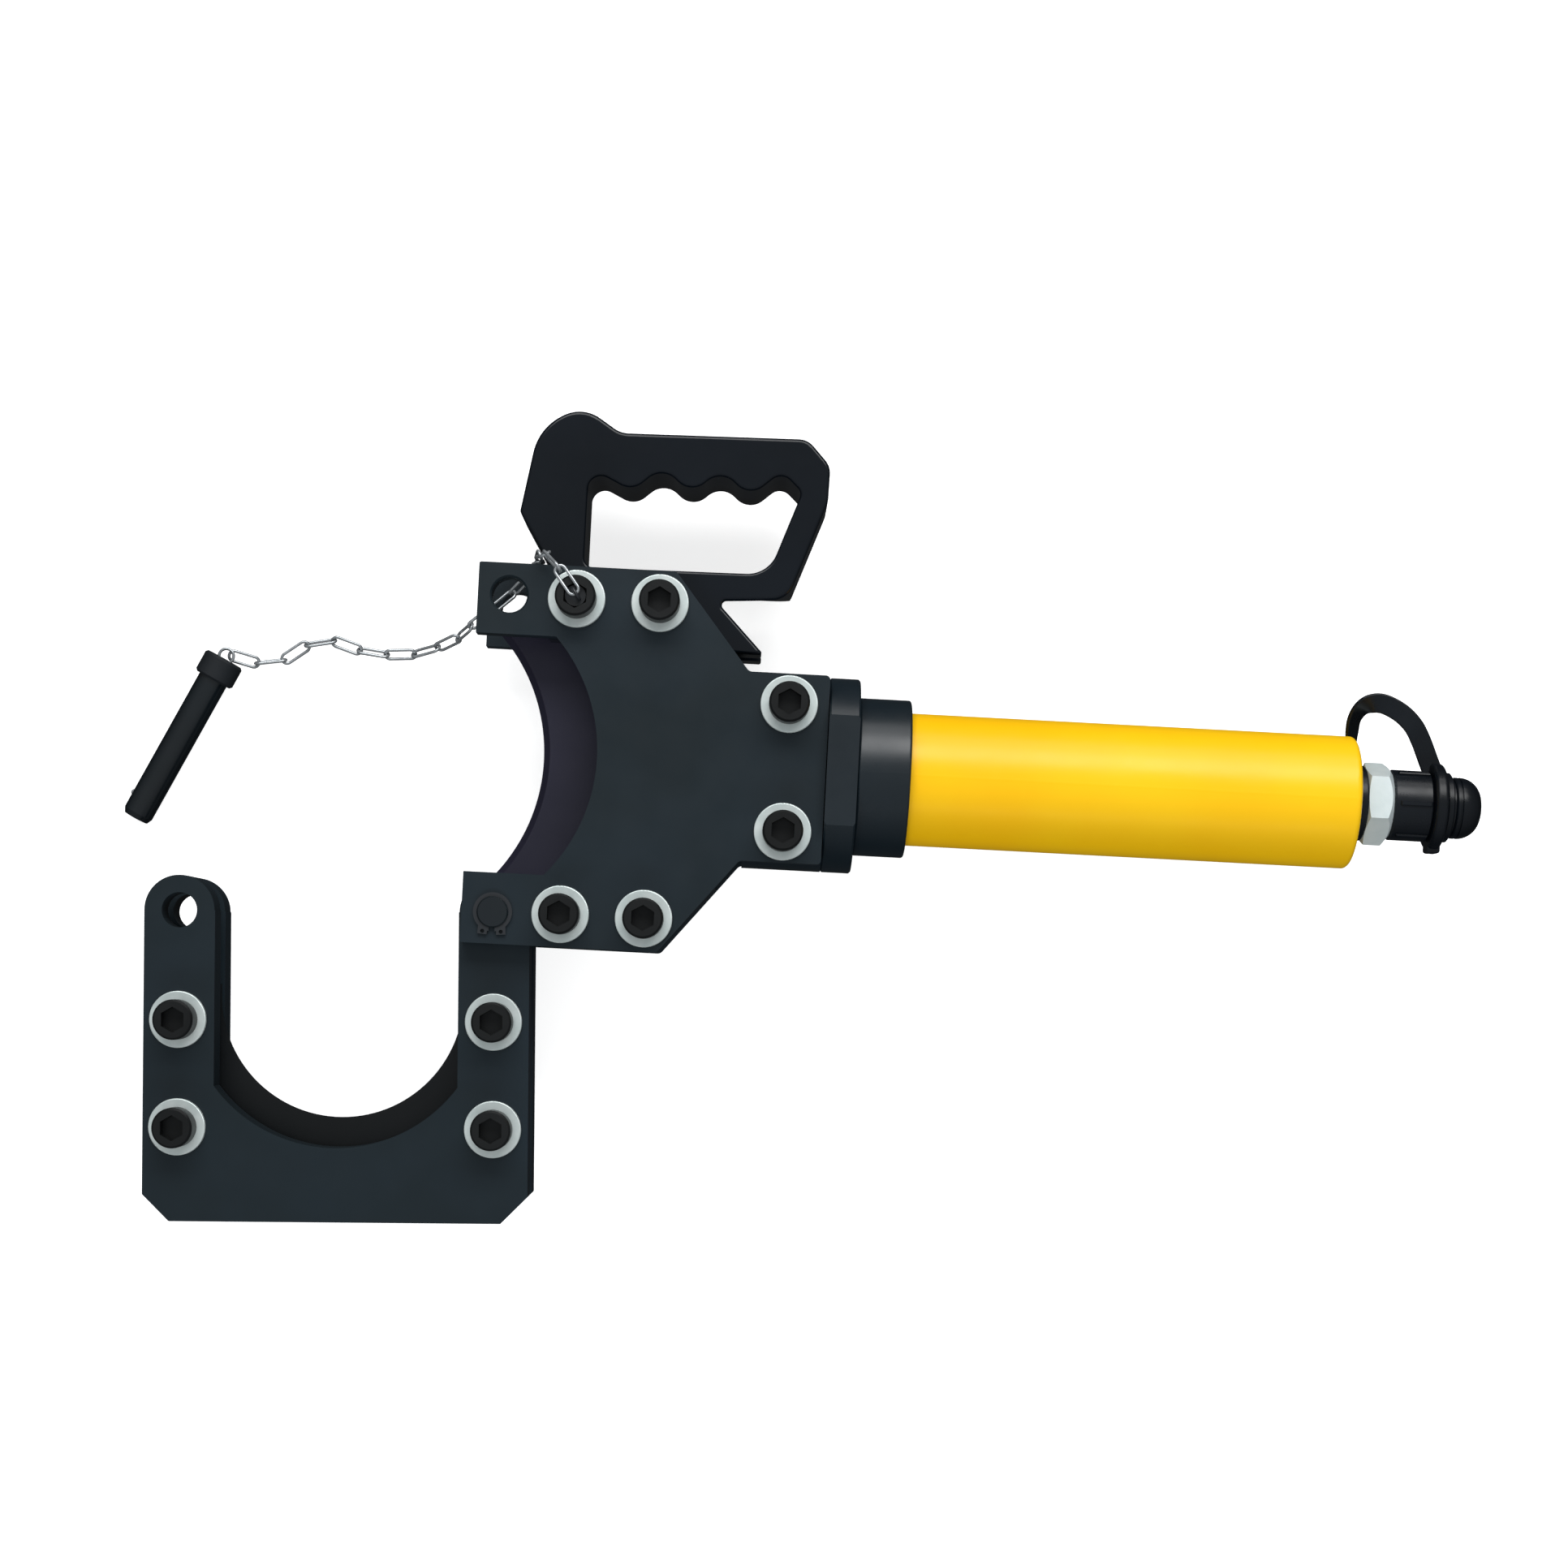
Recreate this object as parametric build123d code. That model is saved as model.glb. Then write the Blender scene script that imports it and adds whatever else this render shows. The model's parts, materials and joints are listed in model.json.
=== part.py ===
"""Guillotine rescue cutter: a single-acting hydraulic cylinder pushes a hollow-ground blade out of a
two-plate head, through a yoke that swings on a pivot pin and is locked across the mouth by a loose pin.

Shapes are drawn in the tool's own directions and moved to the part's frame only when they are written:
+X runs from the mouth to the hose coupling, with X = 0 through the two ear holes,
+Y runs from the cylinder's axis to the carrying handle, and +Z is the side that carries the bolt heads.
The tool lies on its far side, so the floor is under the tips of the head bolts.
"""

import os
from math import asin, atan2, cos, radians, sin, sqrt

from build123d import *

# ---- driving dimensions, millimetres ----

# head: two plates either side of the handle casting, the lower spacer and the cylinder head
PLATE_T = 10.0
HEAD_GAP = 42.6
CORE_T = 42.0
EAR_Y = 70.5
EAR_FRONT_X = -14.0
EAR_INNER_Y = 53.0
HEAD_HALF_Y = 84.6
SHOULDER_X = 73.5
TAIL_X = 108.0
TAIL_HALF_Y = 42.0
TAIL_END_X = 144.2
MOUTH_R = 77.5
MOUTH_BOTTOM_X = 42.6
PIN_D = 14.0
EAR_HOLE_D = 15.8
HEAD_BOLTS = [(x, side * y) for x, y in ((30.0, 70.0), (67.0, 70.0), (126.5, 28.3)) for side in (1, -1)]

# M12 socket-head fasteners
BOLT_D = 12.0
BOLT_HOLE_D = 13.0
BOLT_HEAD_D = 18.0
BOLT_HEAD_H = 12.0
BOLT_HEAD_CHAMFER = 0.9
SOCKET_AF = 10.0
SOCKET_DEPTH = 6.0
WASHER_D = 25.5
WASHER_T = 2.5
NUT_AF = 18.0
NUT_H = 10.8
BOLT_TIP = 1.6
THREAD_GAP = 0.02

# yoke, in its own directions: u from the pivot to the lock hole, v from the holes to the base
YOKE_REST_DEG = 2.5
YOKE_T = 42.0
SLOT_T = 12.0
HOLE_SPACING = 2 * EAR_Y
ARM_R = 15.7
BASE_V = 139.3
BASE_CHAMFER = 12.0
THROAT_INSET = 16.0
THROAT_V = 78.6
THROAT_BOTTOM_V = 106.0
YOKE_BOLTS = [(u, v) for u in (0.0, HOLE_SPACING) for v in (49.0, 97.0)]
FILLER_TOP_V = 33.0
FILLER_INSET = 1.4
FILLER_COLUMN_W = 11.3
FILLER_BOTTOM_V = 121.0
BUSH_D = 20.0

# blades
BLADE_T = 5.7
BLADE_GAP = 0.15
EDGE_LAND = 1.0
MOVING_BEVEL_W = 3.0
FIXED_BEVEL_W = 7.0
BLADE_HALF_Y = 58.0
BLADE_TIP_X = 17.0
BLADE_ARC_R = 81.0
BLADE_BACK_X = 88.0
FIXED_ARC_R = 55.0
FIXED_ARC_V = 38.0

# blade carriage
CARRIAGE_FRONT_X = 60.0
CARRIAGE_BACK_X = 106.0
CARRIAGE_HALF_Y = 43.5
CARRIAGE_HALF_T = 18.0
JAW_CHAMFER = 6.0
BLADE_SCREW_D = 8.0
SCREW_HEAD_D = 13.0
SCREW_HEAD_H = 8.0
SCREW_POCKET_D = 13.8
SCREW_POCKET_DEPTH = 8.4
BLADE_SCREWS = [(x, y) for x in (67.0, 80.0) for y in (-26.0, 26.0)]

# cylinder, along X
BLOCK_FRONT_X = 109.0
FLANGE_X = 144.6
FLANGE_END_X = 158.4
BLOCK_R = 44.0
FLANGE_FLAT = 36.6
COLLAR_R = 35.7
COLLAR_END_X = 182.0
TUBE_R = 30.0
TUBE_BORE_R = 22.0
TUBE_END_X = 383.5
TUBE_FLOOR_X = 371.5
SPIGOT_END_X = 176.0
ROD_R = 12.5
ROD_FIT = 0.05
ROD_STUB_R = 10.0
ROD_STUB_L = 14.0
GLAND_DEPTH = 4.5
WIPER_X = (109.4, 112.4)
SEAL_X = (113.0, 119.0)
BUSH_X = (122.0, 152.0)
TUBE_SEAL_X = (166.0, 169.2)
TUBE_SEAL_DEPTH = 2.4
PISTON_FRONT_X = 350.0
PISTON_BACK_X = 370.0
PISTON_FIT = 0.08
PISTON_STUB_R = 8.0
WEAR_RING_X = (353.0, 358.0)
WEAR_RING_INNER_R = 19.6
PISTON_SEAL_X = (362.0, 366.0)
PISTON_SEAL_INNER_R = 18.4
PISTON_NUT_AF = 24.0
PISTON_NUT_H = 8.0
SPRING_WIRE_R = 2.4
SPRING_MEAN_R = 17.0
SPRING_TURNS = 9

# hose nipple, dust cap and its strap
NIPPLE_STUB_R = 8.0
NECK_END_X = 388.9
NECK_R = 10.0
HEX_END_X = 400.6
HEX_AF = 33.0
HEX_TURN_DEG = -7.3
HEX_FRONT_R = 16.4
HEX_FRONT_CHAMFER = 1.0
HEX_BACK_R = 15.1
HEX_BACK_CHAMFER = 3.0
BARREL_R = 13.0
BARREL_END_X = 414.5
BARREL_GROOVE_X = (405.0, 408.0)
PORT_R = 4.5
SEAT_R = 5.6
CHAMBER_R = 7.5
POPPET_FIT = 0.08
CAP_FRONT_X = 401.0
CAP_SHOULDER_X = 418.6
CAP_R = 16.0
CAP_FIT = 0.08
RIB_W = 2.2
RIB_H = 1.0
RIB_COUNT = 6
EYE_END_X = 424.2
CAP_NECK_R = 10.4
KNOB_R = 13.9
KNOB_END_X = 441.9
STRAP_W = 9.0
STRAP_T = 2.0
STRAP_ROUTE = [(420.9, 20.6), (415.0, 38.0), (400.0, 49.0), (386.5, 45.5), (383.9, 34.0), (386.6, 17.4)]
STRAP_RADII = [14.0, 14.0, 9.0, 12.0]
NECK_RING_R = 17.0
EYE_RING_R = 19.8

# lock pin, lying on the floor, and its chain
PIN_TOP = (-136.9, 42.2)
PIN_TIP = (-174.9, -33.5)
CAP_D = 18.9
CAP_L = 11.0
PIN_L = 85.0
NOSE_L = 2.5
NOSE_TAPER = 1.2
BALL_D = 3.0
BALL_FROM_TIP = 10.0
BALL_OUT = 0.9
CAP_FLOOR = 3.0
CAP_SPIGOT_R = 5.0
PIN_EYE_R = 3.4
PIN_EYE_X = -1.6
LINK_WIRE = 1.4
LINK_L = 15.9
LINK_W = 6.2
FLOOR_LINKS = 9
CLEVIS_LINKS = 5
ANCHOR_PLUG_R = 4.6
ANCHOR_EYE_R = 2.9
ANCHOR_WIRE_R = 0.75
ANCHOR_EYE_RISE = 0.3
ANCHOR_TURN_DEG = 35.0
ANCHOR_SHIFT = 0.4

# levels that follow
NEAR_Z = HEAD_GAP / 2 + PLATE_T
FLOOR_Z = -(NEAR_Z + WASHER_T + NUT_H + BOLT_TIP)
HALF_SLOT = SLOT_T / 2
HEAD_TOP_Z = NEAR_Z + WASHER_T + BOLT_HEAD_H
LIE_Z = FLOOR_Z + 2.5

# pivot pin and its circlips
PIVOT_END_Z = NEAR_Z + 2.6
CIRCLIP_T = 1.1
CIRCLIP_Z = NEAR_Z + 0.35
CIRCLIP_GROOVE_R = 6.7
CIRCLIP_R = 8.7
CIRCLIP_GAP_W = 2.6
LUG_X = 3.5
LUG_Y = -8.2
LUG_W = 4.2
LUG_L = 4.0
LUG_HOLE_Y = -8.9
LUG_HOLE_R = 0.9

# finger window of the carrying handle: low points between the fingers and rises under them
BUMP_X = (51.5, 77.8, 104.0)
BUMP_Y = 121.0
RISE_X = (64.6, 90.9)
RISE_Y = 132.7
WAVE_R = 9.0
SPUR_SLOT_HALF_T = 6.0
FOOT_DRAFT = 6.0

# where each chain link hands over to the next: over the floor, up between the ears, to the front upper bolt
CHAIN_JOINTS = [
    (-134.4, 44.4, LIE_Z + 5.4),
    (-122.8, 41.8, LIE_Z + 0.6),
    (-110.2, 43.8, LIE_Z + 0.6),
    (-99.9, 51.5, LIE_Z + 0.4),
    (-87.4, 54.1, LIE_Z + 0.4),
    (-75.1, 50.3, LIE_Z + 0.2),
    (-62.4, 48.9, LIE_Z + 0.2),
    (-49.5, 49.8, LIE_Z + 0.7),
    (-38.0, 52.9, LIE_Z + 5.6),
    (-28.2, 57.1, LIE_Z + 12.8),
    (-21.3, 61.6, -21.1),
    (-11.8, 68.9, -16.6),
    (-2.4, 77.5, -17.2),
    (5.7, 85.5, -11.3),
    (10.0, 88.8, 0.2),
    (10.5, 88.0, 13.0),
    (12.2, 89.4, 25.6),
    (15.5, 88.2, 38.0),
    (22.2, 81.3, 46.2),
    (29.9, 71.2, HEAD_TOP_Z + 1.3),
]
FIRST_LINK_ROLL = -8.0
LINK_TWIST = 5.8

# the part's frame: on the floor, under the middle of the tool's outline
ORIGIN = (130.85, -30.24, FLOOR_Z)

CENTRE = (Align.CENTER, Align.CENTER, Align.CENTER)
STAND = (Align.CENTER, Align.CENTER, Align.MIN)


# ---- shape helpers ----


def slab(face, low, high):
    """A flat face made solid between two levels."""
    return extrude(Pos(0, 0, low) * face, amount=high - low)


def outline(points, radii=0.0):
    """A closed outline with its corners rounded, as a face."""
    return make_face(FilletPolyline(*points, radius=radii, close=True))


def post(radius, low, high, x=0.0, y=0.0):
    """A round bar along Z."""
    return Pos(x, y, low) * Cylinder(radius, high - low, align=STAND)


def bar(radius, start, end, y=0.0, z=0.0):
    """A round bar along X."""
    return Plane(origin=(start, y, z), z_dir=(1, 0, 0)) * Cylinder(radius, end - start, align=STAND)


def ring(outer, inner, start, end):
    """A plain ring round the cylinder's axis."""
    return bar(outer, start, end) - bar(inner, start - 1, end + 1)


def turned(profile):
    """A solid turned round the cylinder's axis from points of (X, radius)."""
    return revolve(make_face(Polyline(*profile, close=True)), Axis.X)


def box(low, high):
    """A block between two corners."""
    middle = [(a + b) / 2 for a, b in zip(low, high)]
    sides = [b - a for a, b in zip(low, high)]
    return Pos(*middle) * Box(*sides, align=CENTRE)


def hexagon(across_flats, turn=0.0):
    """A hexagonal face with one flat-to-flat direction turned from Y."""
    return Rot(0, 0, turn) * RegularPolygon(across_flats / sqrt(3), 6)


def cone_cut(x, y, radius_low, radius_high, low, high):
    """A tapered plug along Z, used to grind a bevel behind a round cutting edge."""
    return Pos(x, y, low) * Cone(radius_low, radius_high, high - low, align=STAND)


def coil(wire_r, mean_r, length, turns, place):
    """An open helical spring that starts at a place and runs along its Z."""
    pitch = length / turns
    path = Helix(pitch, length, mean_r)
    section = Plane(origin=path @ 0, z_dir=path % 0) * Circle(wire_r)
    return place * sweep(section, path=path)


def group(shapes):
    """Equal pieces that share one node, each its own solid."""
    return Compound(children=[solid for shape in shapes for solid in shape.solids()])


# ---- fasteners ----


def socket_bolt(x, y, seat, tip):
    """A socket-head screw whose head sits on a level and whose shank points down."""
    head = post(BOLT_HEAD_D / 2, seat, seat + BOLT_HEAD_H, x, y)
    head = chamfer(head.edges().sort_by(Axis.Z)[-1], BOLT_HEAD_CHAMFER)
    top = seat + BOLT_HEAD_H
    socket = slab(Pos(x, y) * hexagon(SOCKET_AF, 30), top - SOCKET_DEPTH, top + 1)
    shank = post(BOLT_D / 2, tip, seat, x, y)
    shank = chamfer(shank.edges().sort_by(Axis.Z)[0], 1.0)
    return head + shank - socket


def washer(x, y, low):
    """A flat washer with softened rims."""
    body = post(WASHER_D / 2, low, low + WASHER_T, x, y)
    body = fillet(body.edges().filter_by(GeomType.CIRCLE), 0.5)
    return body - post(BOLT_HOLE_D / 2, low - 1, low + WASHER_T + 1, x, y)


def nut(x, y, top):
    """A hexagon nut below a level, with both faces chamfered round its corners."""
    body = slab(Pos(x, y) * hexagon(NUT_AF), top - NUT_H, top)
    corner = NUT_AF / sqrt(3)
    dome = cone_cut(x, y, corner - 1.2, corner + 7.3, top - NUT_H, top - NUT_H + 5)
    dome += post(corner + 8, top - NUT_H + 5, top, x, y)
    return body & dome - post(BOLT_D / 2 + THREAD_GAP, top - NUT_H - 1, top + 1, x, y)


def holes(places, radius, low, high):
    """Straight holes along Z, to be cut away."""
    return [post(radius, low - 1, high + 1, x, y) for x, y in places]


def head_bolts():
    tip = FLOOR_Z
    return group([socket_bolt(x, y, NEAR_Z + WASHER_T, tip) for x, y in HEAD_BOLTS])


def head_washers_near():
    return group([washer(x, y, NEAR_Z) for x, y in HEAD_BOLTS])


def head_washers_far():
    return group([washer(x, y, -NEAR_Z - WASHER_T) for x, y in HEAD_BOLTS])


def head_nuts():
    return group([nut(x, y, -NEAR_Z - WASHER_T) for x, y in HEAD_BOLTS])


# ---- head ----


def head_plate_face():
    """One plate: two ears, the round mouth between them, and a tail that narrows on to the cylinder."""
    half = [
        (EAR_FRONT_X, HEAD_HALF_Y),
        (SHOULDER_X, HEAD_HALF_Y),
        (TAIL_X, TAIL_HALF_Y),
        (TAIL_END_X, TAIL_HALF_Y),
    ]
    mirrored = [(x, -y) for x, y in reversed(half)]
    blank = outline(half + mirrored, [1.0, 3.0, 3.0, 2.0, 2.0, 3.0, 3.0, 1.0])
    mouth = Pos(MOUTH_BOTTOM_X - MOUTH_R, 0) * Circle(MOUTH_R)
    between_ears = Rectangle(2 * MOUTH_BOTTOM_X + 1, 2 * EAR_INNER_Y)
    return blank - (mouth & between_ears)


def head_plate(low, lock_hole_cone):
    plate = slab(head_plate_face(), low, low + PLATE_T)
    plate -= holes(HEAD_BOLTS, BOLT_HOLE_D / 2, low, low + PLATE_T)
    plate -= holes([(0, -EAR_Y)], PIN_D / 2 + 0.03, low, low + PLATE_T)
    plate -= holes([(0, EAR_Y)], EAR_HOLE_D / 2, low, low + PLATE_T)
    return plate - lock_hole_cone


def head_plate_near():
    lead_in = cone_cut(0, EAR_Y, EAR_HOLE_D / 2, EAR_HOLE_D / 2 + 1.0, NEAR_Z - 0.8, NEAR_Z + 0.2)
    return head_plate(HEAD_GAP / 2, lead_in)


def head_plate_far():
    lead_in = cone_cut(0, EAR_Y, EAR_HOLE_D / 2 + 1.0, EAR_HOLE_D / 2, -NEAR_Z - 0.2, -NEAR_Z + 0.8)
    return head_plate(-NEAR_Z, lead_in)


def arm_clearance(y):
    """Room for the round end of a yoke arm, with the corner behind it taken off."""
    return post(ARM_R + 0.9, -CORE_T, CORE_T, 0, y)


def blade_groove(side):
    """The slot that guides one side of the moving blade."""
    inner = side * (EAR_INNER_Y - 2)
    outer = side * (BLADE_HALF_Y + 0.4)
    top = BLADE_GAP + BLADE_T + 0.35
    return box((0, min(inner, outer), -0.2), (BLADE_BACK_X + 8, max(inner, outer), top))


def finger_window():
    """The opening for the hand: a straight lower side and three finger rises along the grip."""
    waves = [
        (BUMP_X[0], BUMP_Y),
        (RISE_X[0], RISE_Y),
        (BUMP_X[1], BUMP_Y),
        (RISE_X[1], RISE_Y),
        (BUMP_X[2], BUMP_Y),
    ]
    points = [(31.6, 85.9), (31.6, 130.6), *waves, (118.0, 133.2), (127.4, 124.4), (114.2, 86.9)]
    return outline(points, [4.5, 6.0] + [WAVE_R] * len(waves) + [6.0, 4.0, 14.0])


def handle_face():
    """The casting's outer outline: a rounded horn over the front, a level grip, a rear leg and a foot."""
    points = [
        (17.6, EAR_INNER_Y),
        (18.4, 81.8),
        (1.8, 109.3),
        (8.2, 147.3),
        (27.4, 158.2),
        (45.0, 146.8),
        (128.8, 148.3),
        (139.6, 136.8),
        (139.3, 120.6),
        (123.4, 76.0),
        (91.8, 73.9),
        (114.4, 50.8),
        (98.0, EAR_INNER_Y - 2.2),
        (97.0, EAR_INNER_Y),
    ]
    radii = [0.5, 1.5, 3.0, 24.0, 16.0, 12.0, 9.0, 9.0, 12.0, 11.0, 2.0, 1.0, 0.0, 0.0]
    return outline(points, radii)


def in_window(edge):
    """Whether an edge of the casting lies on the rim of the finger window."""
    middle = edge.center()
    return 30 < middle.X < 125 and 84 < middle.Y < 131


def carry_handle():
    """The handle casting fills the gap above the blade and rises into the grip."""
    body = slab(handle_face(), -CORE_T / 2, CORE_T / 2)
    rims = [e for e in body.edges() if abs(abs(e.center().Z) - CORE_T / 2) < 0.01 and e.center().Y > 60]
    body = fillet(rims, 1.8)
    body -= slab(finger_window(), -CORE_T, CORE_T)
    window_rims = [e for e in body.edges() if abs(abs(e.center().Z) - CORE_T / 2) < 0.01 and in_window(e)]
    body = fillet(window_rims, 1.4)
    body -= holes([(x, y) for x, y in HEAD_BOLTS if y > 50], BOLT_HOLE_D / 2, -CORE_T / 2, CORE_T / 2)
    spur_slot = box((97.5, 44, -SPUR_SLOT_HALF_T), (120, 58.4, SPUR_SLOT_HALF_T))
    return body - arm_clearance(EAR_Y) - blade_groove(1) - spur_slot - foot_draft()


def foot_draft():
    """A long wedge that slopes the underside of the rear foot away from the near side."""
    level = 75.2
    below = level - 12
    near = CORE_T / 2 - 2.5
    far = -CORE_T / 2 - 1
    across = Plane(origin=(93.2, 0, 0), x_dir=(0, 1, 0), z_dir=(1, 0, 0))
    wedge = Polyline((below, near), (level, near), (level + FOOT_DRAFT, far), (below, far), close=True)
    return extrude(across * make_face(wedge), amount=40)


def lower_spacer():
    """The block that keeps the plates apart below the blade and guides its lower side."""
    points = [
        (17.6, -EAR_INNER_Y),
        (17.6, -72.0),
        (29.0, -HEAD_HALF_Y + 0.6),
        (SHOULDER_X - 1.5, -HEAD_HALF_Y + 0.6),
        (99.0, -EAR_INNER_Y),
    ]
    body = slab(outline(points, [0.5, 1.5, 1.5, 2.0, 1.0]), -CORE_T / 2, CORE_T / 2)
    body -= holes([(x, y) for x, y in HEAD_BOLTS if y < -50], BOLT_HOLE_D / 2, -CORE_T / 2, CORE_T / 2)
    return body - arm_clearance(-EAR_Y) - blade_groove(-1)


def pivot_pin():
    body = post(PIN_D / 2, -PIVOT_END_Z, PIVOT_END_Z, 0, -EAR_Y)
    body = chamfer(body.edges().filter_by(GeomType.CIRCLE), 0.6)
    for low in (CIRCLIP_Z, -CIRCLIP_Z - CIRCLIP_T):
        groove = post(PIN_D, low - 0.03, low + CIRCLIP_T + 0.03, 0, -EAR_Y)
        body -= groove - post(CIRCLIP_GROOVE_R, low - 1, low + CIRCLIP_T + 1, 0, -EAR_Y)
    return body


def circlip(low):
    """An open ring with two drilled lugs that point away from the handle."""
    face = Circle(CIRCLIP_R) - Circle(CIRCLIP_GROOVE_R + 0.03)
    for side in (1, -1):
        lug = Pos(side * LUG_X, LUG_Y) * Rectangle(LUG_W, LUG_L)
        hole = Pos(side * LUG_X, LUG_HOLE_Y) * Circle(LUG_HOLE_R)
        face += Rot(0, 0, side * 4) * (lug - Circle(7.6) - hole)
    face -= Pos(0, -CIRCLIP_GROOVE_R - 1.3) * Rectangle(CIRCLIP_GAP_W, 8)
    return slab(Pos(0, -EAR_Y) * face, low, low + CIRCLIP_T)


def pivot_circlips():
    return group([circlip(CIRCLIP_Z), circlip(-CIRCLIP_Z - CIRCLIP_T)])


# ---- cylinder ----


def cylinder_head():
    """The round front block: flats between the plates, a flange behind them and a spigot in the tube."""
    body = bar(BLOCK_R, BLOCK_FRONT_X, FLANGE_X + 2)
    body &= box((0, -60, -HEAD_GAP / 2 + 0.05), (FLANGE_X, 60, HEAD_GAP / 2 - 0.05))
    flange = bar(BLOCK_R, FLANGE_X, FLANGE_END_X) & box((0, -60, -FLANGE_FLAT), (200, 60, FLANGE_FLAT))
    body += chamfer(flange.edges().filter_by(GeomType.CIRCLE), 0.8)
    body += bar(TUBE_BORE_R - 0.05, FLANGE_END_X - 1, SPIGOT_END_X)
    body -= bar(ROD_R + 0.4, BLOCK_FRONT_X - 1, SPIGOT_END_X + 1)
    for start, end in (SEAL_X, WIPER_X, BUSH_X):
        body -= bar(ROD_R + GLAND_DEPTH, start, end)
    body -= ring(TUBE_BORE_R + 1, TUBE_BORE_R - TUBE_SEAL_DEPTH, *TUBE_SEAL_X)
    return body - holes(HEAD_BOLTS[4:], BOLT_HOLE_D / 2, -BLOCK_R, BLOCK_R)


def packing(outer, inner, groove):
    """A ring that fills one groove, a little shorter than the groove."""
    return ring(outer, inner, groove[0] + 0.05, groove[1] - 0.05)


def rod_seal():
    return packing(ROD_R + GLAND_DEPTH - 0.02, ROD_R + ROD_FIT, SEAL_X)


def rod_wiper():
    return packing(ROD_R + GLAND_DEPTH - 0.02, ROD_R + ROD_FIT, WIPER_X)


def rod_bush():
    return packing(ROD_R + GLAND_DEPTH - 0.02, ROD_R + ROD_FIT, BUSH_X)


def tube_seal():
    return packing(TUBE_BORE_R - 0.02, TUBE_BORE_R - TUBE_SEAL_DEPTH + 0.05, TUBE_SEAL_X)


def cylinder_collar():
    body = bar(COLLAR_R, FLANGE_END_X + 0.05, COLLAR_END_X)
    body = fillet(body.edges().filter_by(GeomType.CIRCLE), 1.2)
    return body - bar(TUBE_R + 0.03, FLANGE_END_X - 1, COLLAR_END_X + 1)


def cylinder_tube():
    """The yellow barrel, closed at the back, with a tapped port for the nipple."""
    body = bar(TUBE_R, FLANGE_END_X + 0.1, TUBE_END_X)
    body = fillet(body.edges().filter_by(GeomType.CIRCLE).sort_by(Axis.X)[-1], 2.6)
    body -= bar(TUBE_BORE_R, FLANGE_END_X - 1, TUBE_FLOOR_X)
    return body - bar(NIPPLE_STUB_R + THREAD_GAP, TUBE_FLOOR_X - 1, TUBE_END_X + 1)


# ---- ram: carriage, rod, piston and moving blade ----


def ram():
    """The piston rod, with a thread stub into the carriage and another through the piston."""
    start = CARRIAGE_BACK_X - ROD_STUB_L
    profile = [
        (start, 0),
        (start, ROD_STUB_R - 1),
        (start + 1, ROD_STUB_R),
        (CARRIAGE_BACK_X, ROD_STUB_R),
        (CARRIAGE_BACK_X, ROD_R),
        (PISTON_FRONT_X, ROD_R),
        (PISTON_FRONT_X, PISTON_STUB_R),
        (PISTON_BACK_X - 1, PISTON_STUB_R),
        (PISTON_BACK_X - 1, 0),
    ]
    return turned(profile)


def piston():
    """A step in the back takes the nut; two grooves hold the seal and the wear ring."""
    body = ring(TUBE_BORE_R - PISTON_FIT, PISTON_STUB_R + THREAD_GAP, PISTON_FRONT_X, PISTON_BACK_X)
    body -= ring(TUBE_BORE_R + 1, PISTON_SEAL_INNER_R, *PISTON_SEAL_X)
    body -= ring(TUBE_BORE_R + 1, WEAR_RING_INNER_R, *WEAR_RING_X)
    recess_r = PISTON_NUT_AF / sqrt(3) + 0.35
    return body - bar(recess_r, PISTON_BACK_X - PISTON_NUT_H, PISTON_BACK_X + 1)


def piston_seal():
    return packing(TUBE_BORE_R - 0.03, PISTON_SEAL_INNER_R + 0.02, PISTON_SEAL_X)


def piston_wear_ring():
    return packing(TUBE_BORE_R - 0.03, WEAR_RING_INNER_R + 0.02, WEAR_RING_X)


def piston_nut():
    seat = PISTON_BACK_X - PISTON_NUT_H
    face = Plane(origin=(seat, 0, 0), z_dir=(1, 0, 0)) * RegularPolygon(PISTON_NUT_AF / sqrt(3), 6)
    body = extrude(face, amount=PISTON_NUT_H - 0.5)
    return body - bar(PISTON_STUB_R + THREAD_GAP, seat - 1, PISTON_BACK_X + 1)


def return_spring():
    """An open coil between the spigot and the piston, clear of both."""
    gap = SPRING_WIRE_R + 0.6
    place = Plane(origin=(SPIGOT_END_X + gap, 0, 0), z_dir=(1, 0, 0))
    length = PISTON_FRONT_X - SPIGOT_END_X - 2 * gap
    return coil(SPRING_WIRE_R, SPRING_MEAN_R, length, SPRING_TURNS, place)


def blade_carriage():
    """The block on the rod's end: a lower jaw under the blade and a tapped boss behind it."""
    body = box(
        (BLADE_BACK_X + 0.5, -CARRIAGE_HALF_Y, -CARRIAGE_HALF_T),
        (CARRIAGE_BACK_X, CARRIAGE_HALF_Y, CARRIAGE_HALF_T),
    )
    body = chamfer(body.edges().filter_by(Axis.X), 3.0)
    jaw = box(
        (CARRIAGE_FRONT_X, -CARRIAGE_HALF_Y, -CARRIAGE_HALF_T),
        (BLADE_BACK_X + 1, CARRIAGE_HALF_Y, BLADE_GAP - 0.02),
    )
    jaw = chamfer(jaw.edges().filter_by(Axis.Y).sort_by(Axis.X)[:2].sort_by(Axis.Z)[0], JAW_CHAMFER)
    body += jaw
    body -= bar(ROD_STUB_R + THREAD_GAP, CARRIAGE_BACK_X - ROD_STUB_L - 0.5, CARRIAGE_BACK_X + 1)
    return body - holes(BLADE_SCREWS, BLADE_SCREW_D / 2 + 0.02, -CARRIAGE_HALF_T + 3, BLADE_GAP)


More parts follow.
